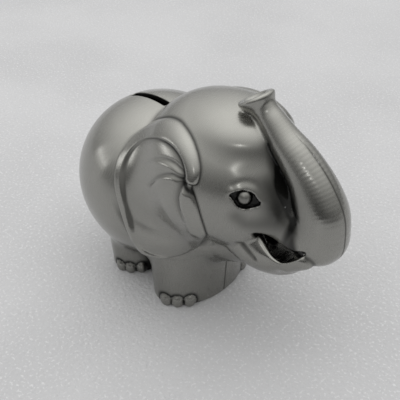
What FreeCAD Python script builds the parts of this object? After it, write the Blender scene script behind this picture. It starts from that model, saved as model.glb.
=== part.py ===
"""Elephant coin bank: two hollow cast halves, two soldered ears, a tail and a rubber stopper.

Frame: +X towards the trunk, +Y to the animal's left, +Z up, in millimetres.
The origin is on the ground, below the middle of the whole bank.
"""
import FreeCAD
import Part
import Sketcher
import math
import os

Vector = FreeCAD.Vector
Rotation = FreeCAD.Rotation
Placement = FreeCAD.Placement
X_AXIS = Vector(1, 0, 0)
Y_AXIS = Vector(0, 1, 0)
Z_AXIS = Vector(0, 0, 1)

doc = FreeCAD.newDocument("elephant_coin_bank")
sizes = doc.addObject("Spreadsheet::Sheet", "sizes")

# Ellipsoids: centre x and z, then half length, half width and half height.
ELLIPSOIDS = {
    "body": (-35.0, 60.0, 48.0, 47.0, 46.5),
    "head": (13.2, 86.7, 45.6, 39.5, 41.0),
    "jaw": (35.0, 69.3, 36.0, 25.0, 18.6),
    "throat": (30.0, 60.0, 20.0, 20.0, 20.0),
    "tuft": (-79.6, 44.0, 3.4, 4.2, 7.0),
    "dome": (-64.0, 39.3, 50.4, 52.6, 220.0),
}

# Trunk stations from the bend in front of the mouth to the flared tip: x, z and radius.
TRUNK = [
    (72.8, 78.0, 14.2),
    (74.1, 89.8, 13.0),
    (70.8, 98.3, 11.9),
    (65.4, 106.3, 10.6),
    (57.3, 114.2, 9.3),
    (48.6, 120.6, 7.8),
    (41.9, 126.5, 6.4),
    (35.3, 132.0, 6.0),
    (30.4, 136.6, 8.0),
]

# The trunk is solid past this many stations.
HOLLOW_STATIONS = 6

# Tail stations: angle round the rump above the horizontal, in degrees, and radius.
TAIL = [(20.0, 3.6), (10.0, 3.4), (0.0, 3.0), (-10.0, 2.7), (-20.0, 2.5)]

# Toenails: angle round the foot from straight ahead to straight sideways, in degrees.
NAIL_ANGLES = {"front": (80.0, 60.0, 42.0), "rear": (84.0, 66.0, 50.0)}

NEAR_ZERO = 1e-9

SIZES = {
    "wall": (2.2, "thickness of the cast wall"),
    "head_tilt": (6.6, "head nods forward by this angle"),
    "front_x": (-6.2, "middle of the front pair of legs"),
    "front_long": (20.0, "half length of the front legs at the ground"),
    "front_wide": (31.5, "half width of the front legs at the ground"),
    "rear_x": (-44.0, "middle of the rear pair of legs"),
    "rear_long": (19.0, "half length of the rear legs at the ground"),
    "rear_wide": (30.5, "half width of the rear legs at the ground"),
    "leg_top": (52.0, "height at which the legs end inside the body"),
    "leg_flare": (3.0, "how much each leg widens towards the body"),
    "toe_radius": (3.3, "radius of a toenail"),
    "toe_height": (4.4, "height of a toenail's middle"),
    "root_x": (44.0, "trunk root inside the head"),
    "root_z": (84.0, "trunk root inside the head"),
    "root_radius": (18.0, "trunk root radius"),
    "root_step": (0.3, "the root ends this much inside the ball at the bend"),
    "bend_radius": (14.6, "ball at the trunk's bend"),
    "web_thick": (5.0, "web that joins the trunk to the forehead"),
    "web_low": (30.0, "lower inner corner of the web, ahead of the head's middle"),
    "web_high": (20.0, "upper inner corner of the web, ahead of the head's middle"),
    "web_rise": (26.0, "upper inner corner of the web, above the head's middle"),
    "nostril_radius": (4.6, "recess in the trunk's tip"),
    "nostril_deep": (4.0, "recess in the trunk's tip"),
    "lip_x": (68.6, "tip of the lower lip"),
    "lip_z": (63.2, "tip of the lower lip"),
    "lip_slope": (39.0, "the lip line climbs backwards by this angle"),
    "lip_thick": (2.4, "thickness of the lower lip"),
    "lip_back": (60.0, "the lip's cutters start this far behind its tip"),
    "lip_span": (90.0, "length and width of the lip's cutters"),
    "jaw_tilt": (26.3, "the jaw slopes down forwards by this angle"),
    "mouth_deep": (9.0, "depth of the mouth below the lip line"),
    "eye_x": (45.9, "eyeball"),
    "eye_y": (22.6, "eyeball"),
    "eye_z": (99.2, "eyeball"),
    "eye_radius": (4.2, "eyeball"),
    "dome_y": (4.0, "centre of the dome that bounds an ear, past the mid-plane"),
    "dome_tilt": (58.7, "the dome's long axis leans forwards by this angle"),
    "bowl_deep": (2.2, "depth of the ear's bowl"),
    "ear_reach": (60.0, "outer limit of the ear blank"),
    "slot_x": (-43.8, "middle of the coin slot"),
    "slot_long": (27.5, "length of the coin slot"),
    "slot_wide": (4.2, "width of the coin slot"),
    "slot_bottom": (90.0, "lower end of the slot cutter"),
    "slot_high": (20.0, "height of the slot cutter"),
    "recess_x": (-24.6, "middle of the recess under the belly"),
    "recess_long": (26.0, "half length of the recess"),
    "recess_wide": (18.0, "half width of the recess"),
    "recess_high": (13.0, "height of the recess"),
    "under_ground": (1.0, "the recess cutter starts this far below the ground"),
    "bore_radius": (14.0, "hole for the stopper"),
    "bore_top": (23.0, "upper end of the hole's cutter"),
    "plug_gap": (0.07, "clearance round the stopper"),
    "flange_radius": (16.2, "stopper flange"),
    "flange_thick": (2.4, "stopper flange"),
    "plug_high": (6.5, "plug height above the flange"),
    "plug_wall": (2.9, "plug rim thickness"),
    "plug_floor": (1.2, "plug floor above the flange"),
    "tab_long": (17.0, "pull tab length"),
    "tab_thick": (3.4, "pull tab thickness"),
    "tab_high": (5.4, "pull tab height"),
    "tab_corner": (2.4, "rounding of the tab's lower corners"),
    "tail_lift": (1.2, "how far the tail's centre stands off the rump"),
    "reach": (120.0, "half the side of a box that holds the whole bank"),
}


def fill_sheet():
    """Write every driving dimension to the sheet, with its alias and its meaning."""
    rows = [(alias, value, note) for alias, (value, note) in SIZES.items()]
    for name, numbers in ELLIPSOIDS.items():
        for part, value in zip(("x", "z", "long", "wide", "high"), numbers):
            rows.append((name + "_" + part, value, "ellipsoid"))
    for i, numbers in enumerate(TRUNK):
        for part, value in zip(("x", "z", "radius"), numbers):
            rows.append(("trunk%d_%s" % (i, part), value, "trunk station"))
    for row, (alias, value, note) in enumerate(rows, 1):
        sizes.set("A%d" % row, alias)
        sizes.set("B%d" % row, str(value))
        sizes.set("C%d" % row, note)
        sizes.setAlias("B%d" % row, alias)
    doc.recompute()


def size(alias):
    """A driving dimension's value."""
    return float(sizes.get(alias))


def bind(item, **expressions):
    """Bind properties to sheet expressions; a place is given as x=, y= and z=."""
    for name, text in expressions.items():
        target = "Placement.Base." + name if name in ("x", "y", "z") else name
        item.setExpression(target, text)
    return item


def ellipsoid(label, name, grow="", tilt=0.0):
    """An ellipsoid whose poles lie on the Y axis, so that no seam lies in the mid-plane."""
    item = doc.addObject("Part::Ellipsoid", label)
    turn = Rotation(Y_AXIS, tilt).multiply(Rotation(X_AXIS, 90))
    item.Placement = Placement(Vector(0, 0, 0), turn)
    bind(
        item,
        Radius1="sizes.%s_wide%s" % (name, grow),
        Radius2="sizes.%s_long%s" % (name, grow),
        Radius3="sizes.%s_high%s" % (name, grow),
        x="sizes.%s_x" % name,
        z="sizes.%s_z" % name,
    )
    return item


def box(label, low, extent, turn=Rotation()):
    """A box from its low corner and its extents, all given as expressions."""
    item = doc.addObject("Part::Box", label)
    item.Placement = Placement(Vector(0, 0, 0), turn)
    length, width, height = extent
    return bind(item, x=low[0], y=low[1], z=low[2], Length=length, Width=width, Height=height)


def ball(label, radius, place):
    """A sphere whose poles lie on the Y axis."""
    item = doc.addObject("Part::Sphere", label)
    item.Placement = Placement(Vector(0, 0, 0), Rotation(X_AXIS, 90))
    return bind(item, Radius=radius, x=place[0], y=place[1], z=place[2])


def loft(label, sections):
    """A smooth solid through closed sections."""
    item = doc.addObject("Part::Loft", label)
    item.Sections = sections
    item.Solid = True
    item.Ruled = False
    return item


def fuse(label, shapes):
    """One solid from many, joined one after the other."""
    whole = shapes[0]
    for i, shape in enumerate(shapes[1:], 1):
        step = doc.addObject("Part::Fuse", label if i == len(shapes) - 1 else "%s_%d" % (label, i))
        step.Base = whole
        step.Tool = shape
        step.Refine = False
        whole = step
    return whole


def cut(label, base, tool):
    item = doc.addObject("Part::Cut", label)
    item.Base = base
    item.Tool = tool
    item.Refine = False
    return item


def common(label, base, tool):
    item = doc.addObject("Part::Common", label)
    item.Base = base
    item.Tool = tool
    item.Refine = False
    return item


def mirrored(label, source):
    """The same piece on the other side of the mid-plane."""
    item = doc.addObject("Part::Mirroring", label)
    item.Source = source
    item.Normal = Y_AXIS
    item.Base = Vector(0, 0, 0)
    return item


def ellipse_section(label, name, height, grow):
    """A level ellipse, wider across the animal than along it."""
    item = doc.addObject("Part::Ellipse", label)
    item.Placement = Placement(Vector(0, 0, 0), Rotation(Z_AXIS, 90))
    return bind(
        item,
        MajorRadius="sizes.%s_wide%s" % (name, grow),
        MinorRadius="sizes.%s_long%s" % (name, grow),
        x="sizes.%s_x" % name,
        z=height,
    )


def leg_pair(label, name, foot="0", shrink=""):
    """A pair of legs cast as one stump that widens towards the body."""
    low = ellipse_section(label + "_foot", name, foot, shrink)
    high = ellipse_section(label + "_top", name, "sizes.leg_top", " + sizes.leg_flare" + shrink)
    return loft(label, [low, high])


def station_turns():
    """The trunk's direction at each station, from its neighbours."""
    turns = []
    last = len(TRUNK) - 1
    for i in range(len(TRUNK)):
        before = TRUNK[max(i - 1, 0)]
        after = TRUNK[min(i + 1, last)]
        along = Vector(after[0] - before[0], 0, after[1] - before[1])
        turns.append(Rotation(Z_AXIS, along))
    return turns


def trunk_loft(label, stations, shrink=""):
    """A tapered tube through the given trunk stations."""
    turns = station_turns()
    rings = []
    for i in stations:
        ring = doc.addObject("Part::Circle", "%s_ring%d" % (label, i))
        ring.Placement = Placement(Vector(0, 0, 0), turns[i])
        bind(
            ring,
            Radius="sizes.trunk%d_radius%s" % (i, shrink),
            x="sizes.trunk%d_x" % i,
            z="sizes.trunk%d_z" % i,
        )
        rings.append(ring)
    return loft(label, rings)


def trunk_root(label, shrink=""):
    """The cone that carries the trunk out of the face to its bend."""
    start = Vector(size("root_x"), 0, size("root_z"))
    end = Vector(size("trunk0_x"), 0, size("trunk0_z"))
    item = doc.addObject("Part::Cone", label)
    item.Placement = Placement(Vector(0, 0, 0), Rotation(Z_AXIS, end - start))
    item.Height = (end - start).Length
    return bind(
        item,
        Radius1="sizes.root_radius" + shrink,
        Radius2="sizes.bend_radius - sizes.root_step" + shrink,
        x="sizes.root_x",
        z="sizes.root_z",
    )


def plane_of(body, role):
    """One of a body's own origin planes."""
    for feature in body.Origin.OriginFeatures:
        if feature.Role == role:
            return feature
    raise ValueError(role)


def new_body(label):
    return doc.addObject("PartDesign::Body", label)


def new_sketch(body, label, role):
    sketch = body.newObject("Sketcher::SketchObject", label)
    sketch.AttachmentSupport = [(plane_of(body, role), "")]
    sketch.MapMode = "FlatFace"
    return sketch


def polygon(sketch, corners):
    """A closed outline whose corners are bound to sheet expressions."""
    places = []
    for across, up in corners:
        places.append(Vector(float(sketch.evalExpression(across)), float(sketch.evalExpression(up)), 0))
    count = len(places)
    for i in range(count):
        sketch.addGeometry(Part.LineSegment(places[i], places[(i + 1) % count]), False)
    for i in range(count):
        sketch.addConstraint(Sketcher.Constraint("Coincident", i, 2, (i + 1) % count, 1))
    for i, (across, up) in enumerate(corners):
        for kind, text, number, axis in (
            ("DistanceX", across, places[i].x, -2),
            ("DistanceY", up, places[i].y, -1),
        ):
            if abs(number) < NEAR_ZERO:
                sketch.addConstraint(Sketcher.Constraint("PointOnObject", i, 1, axis))
                continue
            index = sketch.addConstraint(Sketcher.Constraint(kind, -1, 1, i, 1, number))
            sketch.setExpression("Constraints[%d]" % index, text)


def smooth_outline(sketch, points):
    """A closed smooth curve through a few points."""
    curve = Part.BSplineCurve()
    curve.interpolate([Vector(x, z, 0) for x, z in points], True)
    sketch.addGeometry(curve, False)


def pad(body, label, sketch, length, middle=False):
    item = body.newObject("PartDesign::Pad", label)
    item.Profile = sketch
    item.Midplane = middle
    item.setExpression("Length", length)
    return item


def side_blank(label, points):
    """A flat blank on the animal's right side, from the mid-plane out, with a smooth outline."""
    body = new_body(label)
    sketch = new_sketch(body, label + "_outline", "XZ_Plane")
    smooth_outline(sketch, points)
    pad(body, label + "_pad", sketch, "sizes.ear_reach")
    return body


def trunk_web():
    """The web that closes the crease between the trunk and the forehead."""
    body = new_body("trunk_web")
    sketch = new_sketch(body, "web_outline", "XZ_Plane")
    inner = [
        ("sizes.head_x + sizes.web_low", "sizes.head_z"),
        ("sizes.head_x + sizes.web_high", "sizes.head_z + sizes.web_rise"),
    ]
    outer = [("sizes.trunk%d_x" % i, "sizes.trunk%d_z" % i) for i in (6, 5, 4, 3, 2, 1)]
    polygon(sketch, inner + outer)
    pad(body, "web_pad", sketch, "sizes.web_thick", middle=True)
    return body


def lip_box(label, drop, high):
    """A block on the lip line, which climbs backwards; it starts `drop` below the line."""
    forwards = "cos(sizes.lip_slope * 1deg)"
    down = "sin(sizes.lip_slope * 1deg)"
    low = (
        "sizes.lip_x - sizes.lip_back * %s - %s * %s" % (forwards, drop, down),
        "-sizes.lip_span / 2",
        "sizes.lip_z + sizes.lip_back * %s - %s * %s" % (down, drop, forwards),
    )
    turn = Rotation(Y_AXIS, size("lip_slope"))
    return box(label, low, ("sizes.lip_span", "sizes.lip_span", high), turn)


def lower_jaw():
    """A scoop: the part of the jaw below the lip line."""
    whole = ellipsoid("jaw_whole", "jaw", tilt=size("jaw_tilt"))
    return cut("jaw_scoop", whole, lip_box("above_lip", "0", "sizes.lip_span"))


def mouth():
    """The hollow of the mouth, between the lower lip and the trunk."""
    inner = ellipsoid("mouth_inner", "jaw", " - sizes.lip_thick", size("jaw_tilt"))
    return common("mouth_hollow", inner, lip_box("mouth_slab", "sizes.mouth_deep", "sizes.mouth_deep"))


def toenails():
    """Three nails on each leg, on the outer front quarter of its foot."""
    nails = []
    for name, angles in NAIL_ANGLES.items():
        for side in (-1, 1):
            for i, angle in enumerate(angles):
                across = "sizes.%s_wide * sin(%g deg) * %d" % (name, angle, side)
                along = "sizes.%s_x + sizes.%s_long * cos(%g deg)" % (name, name, angle)
                label = "%s_nail_%s%d" % (name, "right" if side < 0 else "left", i)
                nails.append(ball(label, "sizes.toe_radius", (along, across, "sizes.toe_height")))
    return nails


def eyes():
    return [
        ball("eye_right", "sizes.eye_radius", ("sizes.eye_x", "-sizes.eye_y", "sizes.eye_z")),
        ball("eye_left", "sizes.eye_radius", ("sizes.eye_x", "sizes.eye_y", "sizes.eye_z")),
    ]


def recess(label, grow):
    """The recess under the belly that hides the stopper."""
    low = ellipse_recess(label + "_low", "-sizes.under_ground", grow)
    high = ellipse_recess(label + "_high", "sizes.recess_high" + grow, grow)
    return loft(label, [low, high])


def ellipse_recess(label, height, grow):
    item = doc.addObject("Part::Ellipse", label)
    return bind(
        item,
        MajorRadius="sizes.recess_long" + grow,
        MinorRadius="sizes.recess_wide" + grow,
        x="sizes.recess_x",
        z=height,
    )


def nostril():
    """A round recess in the trunk's tip, along the trunk."""
    tip = len(TRUNK) - 1
    along = station_turns()[tip]
    item = doc.addObject("Part::Cylinder", "nostril")
    item.Placement = Placement(Vector(0, 0, 0), along)
    back = along.multVec(Z_AXIS)
    return bind(
        item,
        Radius="sizes.nostril_radius",
        Height="sizes.nostril_deep * 2",
        x="sizes.trunk%d_x - %g * sizes.nostril_deep" % (tip, back.x),
        z="sizes.trunk%d_z - %g * sizes.nostril_deep" % (tip, back.z),
    )


def coin_slot():
    """The straight slot along the back, cut straight down."""
    body = new_body("coin_slot")
    sketch = new_sketch(body, "slot_outline", "XY_Plane")
    sketch.setExpression("AttachmentOffset.Base.z", "sizes.slot_bottom")
    rear = "sizes.slot_x - sizes.slot_long / 2"
    front = "sizes.slot_x + sizes.slot_long / 2"
    side = "sizes.slot_wide / 2"
    polygon(sketch, [(rear, "-" + side), (front, "-" + side), (front, side), (rear, side)])
    pad(body, "slot_pad", sketch, "sizes.slot_high")
    return body


def shells():
    """The two cast halves, which meet in the mid-plane."""
    tilt = size("head_tilt")
    bend = ("sizes.trunk0_x", "0", "sizes.trunk0_z")
    outside = fuse(
        "outside",
        [
            ellipsoid("body_outside", "body"),
            ellipsoid("head_outside", "head", tilt=tilt),
            leg_pair("front_legs", "front"),
            leg_pair("rear_legs", "rear"),
            ellipsoid("throat_outside", "throat"),
            lower_jaw(),
            trunk_root("trunk_root"),
            ball("trunk_bend", "sizes.bend_radius", bend),
            trunk_loft("trunk", range(len(TRUNK))),
            trunk_web(),
        ]
        + toenails()
        + eyes(),
    )
    inset = " - sizes.wall"
    hollow = fuse(
        "hollow",
        [
            ellipsoid("body_inside", "body", inset),
            ellipsoid("head_inside", "head", inset, tilt=tilt),
            leg_pair("front_hollow", "front", "sizes.wall", inset),
            leg_pair("rear_hollow", "rear", "sizes.wall", inset),
            trunk_root("root_hollow", inset),
            ball("bend_hollow", "sizes.bend_radius" + inset, bend),
            trunk_loft("trunk_hollow", range(HOLLOW_STATIONS), inset),
        ],
    )
    cavity = cut("cavity", hollow, recess("recess_wall", " + sizes.wall"))
    casting = cut("casting", outside, cavity)
    bore = doc.addObject("Part::Cylinder", "stopper_bore")
    bind(bore, Radius="sizes.bore_radius", Height="sizes.bore_top", x="sizes.recess_x")
    tools = fuse("openings", [recess("recess", ""), bore, coin_slot(), nostril(), mouth()])
    pierced = cut("pierced", casting, tools)
    both_ways = "2 * sizes.reach"
    right_side = box(
        "right_side", ("-sizes.reach", "-sizes.reach", "0"), (both_ways, "sizes.reach", both_ways))
    shell_right = common("shell_right", pierced, right_side)
    return shell_right, mirrored("shell_left", shell_right)


def ear_dome(label, inset=""):
    """The long leaning ellipsoid whose surface is the face of the right ear."""
    return bind(ellipsoid(label, "dome", inset, size("dome_tilt")), y="sizes.dome_y")


EAR_OUTLINE = [
    (27.4, 102.6), (26.0, 109.0), (19.7, 115.4), (9.6, 119.5), (-2.0, 119.0), (-14.6, 112.6),
    (-24.5, 103.7), (-28.9, 92.6), (-25.2, 79.0), (-14.6, 58.0), (-9.2, 44.5), (-3.6, 41.4),
    (9.0, 44.5), (25.0, 61.5), (32.6, 77.8), (30.0, 90.0),
]
BOWL_OUTLINE = [
    (21.6, 104.4), (15.5, 111.0), (2.7, 112.8), (-15.2, 104.7), (-22.6, 91.0), (-16.0, 71.6),
    (-9.1, 57.0), (-1.0, 49.0), (9.0, 50.0), (21.0, 64.0), (27.5, 74.0), (25.0, 90.0),
]


def ears():
    """Shallow bowls with a raised rim, soldered on the sides of the head and body."""
    seat = fuse(
        "ear_seat",
        [
            ellipsoid("seat_body", "body"),
            ellipsoid("seat_head", "head", tilt=size("head_tilt")),
            leg_pair("seat_legs", "front"),
        ],
    )
    blank = common("ear_front", side_blank("ear_blank", EAR_OUTLINE), ear_dome("ear_dome"))
    bowl = cut("ear_bowl", side_blank("bowl_blank", BOWL_OUTLINE), ear_dome("bowl_dome", " - sizes.bowl_deep"))
    ear_right = cut("ear_right", cut("ear_hollowed", blank, bowl), seat)
    return ear_right, mirrored("ear_left", ear_right)


def tail():
    """A tapered tail that lies on the rump and ends in a tuft."""
    rings = []
    for i, (angle, radius) in enumerate(TAIL):
        turn = math.radians(angle)
        lift = size("tail_lift")
        x = size("body_x") - (size("body_long") + lift) * math.cos(turn)
        z = size("body_z") + (size("body_high") + lift) * math.sin(turn)
        along = Vector(size("body_long") * math.sin(turn), 0, size("body_high") * math.cos(turn))
        ring = doc.addObject("Part::Circle", "tail_ring%d" % i)
        ring.Radius = radius
        ring.Placement = Placement(Vector(x, 0, z), Rotation(Z_AXIS, along))
        rings.append(ring)
    hair = fuse("tail_whole", [loft("tail_rod", rings), ellipsoid("tail_tuft", "tuft")])
    return cut("tail", hair, ellipsoid("tail_seat", "body"))


def stopper():
    """A rubber plug with a flange and a pull tab, pushed up into the belly."""
    body = new_body("stopper")
    profile = new_sketch(body, "stopper_profile", "XZ_Plane")
    plug = "sizes.bore_radius - sizes.plug_gap"
    top = "sizes.recess_high + sizes.plug_high"
    under = "sizes.recess_high - sizes.flange_thick"
    floor = "sizes.recess_high + sizes.plug_floor"
    polygon(
        profile,
        [
            ("0", under),
            ("sizes.flange_radius", under),
            ("sizes.flange_radius", "sizes.recess_high"),
            (plug, "sizes.recess_high"),
            (plug, top),
            (plug + " - sizes.plug_wall", top),
            (plug + " - sizes.plug_wall", floor),
            ("0", floor),
        ],
    )
    turned = body.newObject("PartDesign::Revolution", "stopper_turned")
    turned.Profile = profile
    turned.ReferenceAxis = (profile, ["V_Axis"])
    turned.Angle = 360
    doc.recompute()
    tab_sketch = new_sketch(body, "tab_outline", "XZ_Plane")
    tab_profile(tab_sketch)
    pad(body, "tab_pad", tab_sketch, "sizes.tab_thick", middle=True)
    body.Placement = Placement(Vector(size("recess_x"), 0, 0), Rotation())
    return body


def tab_profile(sketch):
    """The pull tab: a tongue with two round lower corners that hangs below the flange."""
    right = size("tab_long") / 2
    left = -right
    under = size("recess_high") - size("flange_thick")
    top = under + size("plug_floor")
    bottom = under - size("tab_high")
    corner = size("tab_corner")
    turns = (
        (Vector(left + corner, bottom + corner, 0), math.pi),
        (Vector(right - corner, bottom + corner, 0), 3 * math.pi / 2),
    )
    for centre, start in turns:
        circle = Part.Circle(centre, Z_AXIS, corner)
        sketch.addGeometry(Part.ArcOfCircle(circle, start, start + math.pi / 2), False)
    sides = (
        ((left + corner, bottom), (right - corner, bottom)),
        ((right, bottom + corner), (right, top)),
        ((right, top), (left, top)),
        ((left, top), (left, bottom + corner)),
    )
    for start, end in sides:
        sketch.addGeometry(Part.LineSegment(Vector(*start, 0), Vector(*end, 0)), False)


def write(pieces):
    """Check every object, then write one file for each piece."""
    for item in doc.Objects:
        bad = [state for state in item.State if state in ("Invalid", "Error")]
        if bad:
            raise RuntimeError("%s is %s" % (item.Label, bad))
    os.makedirs("parts", exist_ok=True)
    for piece in pieces:
        shape = piece.Shape
        if shape.isNull() or not shape.isValid():
            raise RuntimeError(piece.Label + " has no valid shape")
        limits = shape.BoundBox
        print(
            "%-12s solids %d volume %8.1f  x %.2f..%.2f  y %.2f..%.2f  z %.2f..%.2f"
            % (piece.Label, len(shape.Solids), shape.Volume, limits.XMin, limits.XMax,
               limits.YMin, limits.YMax, limits.ZMin, limits.ZMax)
        )
        shape.exportStep("parts/%s.step" % piece.Label)


fill_sheet()
pieces = list(shells()) + list(ears()) + [tail(), stopper()]
doc.recompute()
write(pieces)
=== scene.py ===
"""Looks of the elephant coin bank: two hollow cast halves, two ears, a tail and a rubber stopper.

The metal pieces are shaped as signed distance fields in millimetres, negative inside the metal.
A field sees x towards the trunk, the distance from the mid-plane in place of y, and z up, so one
half serves both sides. Each field is turned into a mesh, and the mesh is scaled to metres.
"""
import math

import bpy
import numpy as np
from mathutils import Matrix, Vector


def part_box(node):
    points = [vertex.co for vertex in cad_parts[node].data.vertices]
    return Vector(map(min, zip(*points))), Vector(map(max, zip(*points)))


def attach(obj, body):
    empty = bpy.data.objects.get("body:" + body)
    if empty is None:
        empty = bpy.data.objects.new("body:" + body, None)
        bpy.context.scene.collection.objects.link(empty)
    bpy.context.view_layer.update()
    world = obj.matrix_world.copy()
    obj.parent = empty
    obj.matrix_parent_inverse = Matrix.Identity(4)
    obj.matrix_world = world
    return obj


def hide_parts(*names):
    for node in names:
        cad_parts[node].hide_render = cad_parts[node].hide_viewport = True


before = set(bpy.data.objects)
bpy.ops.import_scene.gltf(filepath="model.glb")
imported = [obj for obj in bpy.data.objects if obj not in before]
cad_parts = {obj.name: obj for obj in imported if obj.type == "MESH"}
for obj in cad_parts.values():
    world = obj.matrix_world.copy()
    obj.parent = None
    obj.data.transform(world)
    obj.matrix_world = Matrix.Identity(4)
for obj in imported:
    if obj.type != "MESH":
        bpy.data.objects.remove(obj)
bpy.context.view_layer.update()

import openvdb
from mathutils import Vector

MM = 0.001

# Driving sizes, in millimetres.
WALL = 2.2
SHELL_CELL = 0.72
EAR_CELL = 0.55
CAVITY_CELL = 2.4
TAIL_CELL = 0.5
TRUNK_HOLLOW_TOP = 116.0
SEAM_DEPTH = 0.32

# Ellipsoids as middle and radii, and how many degrees two of them lean forwards.
BODY = ((-35.0, 0.0, 60.0), (48.0, 47.0, 46.5))
HEAD = ((13.2, 0.0, 86.7), (45.6, 39.5, 41.0))
HEAD_LEAN = 6.6
# The plane that trims the underside of each cheek: a point on it and its normal.
CHEEK_POINT = (32.7, 33.6, 73.8)
CHEEK_NORMAL = (0.168, 0.697, -0.697)

JAW = ((35.0, 0.0, 69.3), (36.0, 25.0, 18.6))
JAW_LEAN = 26.3
LIP_THICK = 2.4
MOUTH_DEPTH = 5.0

# The lip curls up round both sides of the trunk's root: a tube this far off the mid-plane.
LIP_SIDE = 11.4
LIP_TUBE = [(56, 64, 8.2), (66, 66, 6.8), (74.5, 71.8, 5.5)]

# On the animal's side, as x and z: the lip's upper edge, the mouth's opening and the jaw's rear crease.
LIP_EDGE = [
    (20, 92), (42, 83), (50.4, 75), (54.6, 71.4), (58.6, 68.6), (62, 67.2), (66, 67.4), (70, 70),
    (73.5, 73.4), (76.5, 76.6), (79.4, 79.6), (92, 92),
]
MOUTH_OUTLINE = [
    (50.4, 77.6), (53.0, 77.6), (56.5, 75.8), (61.0, 74.2), (67.0, 74.6), (71.0, 75.6), (76.4, 78.2),
    (74.6, 71.0), (67.0, 62.0), (60.0, 60.0), (53.0, 67.0),
]
JAW_CREASE = [(44.6, 71.0), (47.2, 69.2), (50.2, 66.2), (53.0, 63.2)]

# Each leg stump: middle x, half length and half width at the ground, height and widening.
FRONT_LEGS = (-6.2, 20.0, 31.5, 52.0, 3.0)
REAR_LEGS = (-44.0, 19.0, 30.5, 48.0, 3.0)

# Tubes: x, z and radius.
THROAT = [(14, 46, 17), (36, 56, 14.5), (46, 60, 13)]
TRUNK_ROOT = [(42, 87, 17.5), (57, 82, 15.7), (66, 80, 15), (72.8, 78.2, 14.4)]
TRUNK = [
    (66, 80, 15), (72.8, 78.5, 14.4), (74.1, 89.8, 13), (70.8, 98.3, 11.9), (65.4, 106.3, 10.6),
    (57.3, 114.2, 9.3), (48.6, 120.6, 7.8), (41.9, 126.5, 6.5), (37.6, 130.1, 5.9),
    (33.6, 133.4, 6.7), (31.2, 135.4, 8.1), (28.8, 137.4, 9.8),
]
TIP_MIDDLE = (29.8, 0.0, 135.9)
TIP_FACING = (-0.56, 0.0, 0.828)
NOSTRIL_RADIUS = 6.2

# How many points of the trunk's smooth line belong to its root, and where its free part starts.
ROOT_POINTS = 16
FREE_START = 12

# The web that closes the gap between the trunk and the forehead, as x and z.
WEB = [
    (43, 87), (31, 112), (35, 129), (42, 126.5), (48.6, 120.6), (57.3, 114.2), (65.4, 106.3),
    (70.8, 98.3), (72, 89),
]
WEB_HALF = 2.6

# The low mound on the forehead, just below the trunk's tip: middle, radii and fillet.
MOUND = ((24.0, 0.0, 117.0), (20.0, 19.0, 9.8))
MOUND_BLEND = 9.0

# Toenails: leg stump, radius and the angles round the foot from straight ahead.
TOENAILS = [(FRONT_LEGS, 3.8, (79, 61.5, 45)), (REAR_LEGS, 3.5, (84, 67, 50))]
TOENAIL_HEIGHT = 3.4
TOENAIL_REACH = -1.3

SLOT_MIDDLE = -43.8
SLOT_HALF = 13.75
SLOT_HALF_WIDTH = 2.1
SLOT_BOTTOM = 90.0

stopper_low, stopper_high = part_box("stopper")
RECESS_MIDDLE = (stopper_low.x + stopper_high.x) / 2 / MM
FLANGE_RADIUS = (stopper_high.x - stopper_low.x) / 2 / MM
RECESS = (26.0, 18.0, 13.0)
BORE_RADIUS = 14.0
BORE_TOP = 30.0

# Outlines on the animal's side, as x and z.
EAR_OUTLINE = [
    (25.0, 100.4), (27.2, 102.2), (27.3, 105.3), (26.2, 108.7), (23.2, 112.5), (19.7, 115.4), (15.1, 117.9),
    (9.6, 119.5), (3.7, 120.0), (-2.0, 119.0), (-7.5, 116.9), (-14.6, 112.6), (-20.7, 107.9),
    (-24.5, 103.7), (-27.2, 99.6), (-28.9, 92.6), (-28.1, 87.0), (-25.2, 79.0), (-20.4, 69.1),
    (-14.6, 58.0), (-11.8, 49.5), (-8.9, 43.0), (-4.2, 41.0), (4.7, 42.2), (12.6, 46.2), (20.6, 55.4),
    (31.0, 71.6), (32.6, 77.8), (30.8, 87.6), (28.0, 95.0),
]
BOWL_OUTLINE = [
    (22.8, 100.4), (21.6, 104.4), (19.3, 108.0), (15.5, 111.0), (9.5, 112.9), (2.7, 112.8), (-5.5, 110.5),
    (-15.2, 104.7), (-20.1, 99.8), (-22.3, 95.1), (-22.6, 89.8), (-21.2, 84.1), (-16.0, 71.6),
    (-9.8, 57.6), (-7.6, 50.0), (-4.4, 45.2), (2.0, 43.6), (14, 44), (28, 56), (38, 73), (37, 84),
    (33, 92), (28, 97.6),
]
FOLDS = [
    [(21.2, 103.8), (19.2, 105.5), (13.2, 107.1), (7.5, 106.6), (1.5, 104.3), (-5.1, 100.0), (-11.1, 93.7)],
    [(21.0, 102.6), (15.2, 102.5), (10.9, 101.1), (5.5, 97.6), (0.2, 92.1), (-3.2, 87.8)],
]
NOTCH = (21.4, 102.0)

# The tail: where its stations are round the rump, in degrees, with their radii, and the tuft.
TAIL = ((20, 3.6), (10, 3.4), (0, 3.0), (-10, 2.7), (-20, 2.5))
TUFT = ((-79.9, 0.0, 44.0), (3.3, 4.0, 6.6))

# Boxes, as low and high corners: all that the ear's shape needs, and those that the grids fill.
EAR_REACH = ((-30, 14, 40), (36, 54, 124))
EAR_BOX = ((-32, 12, 38), (38, 54, 126))
TAIL_BOX = ((-92, -8, 28), (-60, 8, 104))
SHELL_BOX = ((-88, -3 * SHELL_CELL, -2), (94, 52, 146))
CAVITY_BOX = ((-86, -51, -4), (92, 51, 124))

# The dark valley between the trunk and the forehead, where shade is painted: x, y, z and how far its
# painted shade spreads.
TRUNK_VALLEY = [
    (45.4, 7.0, 119.5, 1.4), (48.4, 5.7, 112.0, 2.2), (52.2, 6.5, 106.2, 2.8),
    (55.5, 8.0, 100.6, 3.8), (59.0, 10.0, 95.1, 5.0), (62.9, 11.5, 91.3, 3.8), (67.0, 12.0, 89.0, 2.2),
]
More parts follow.
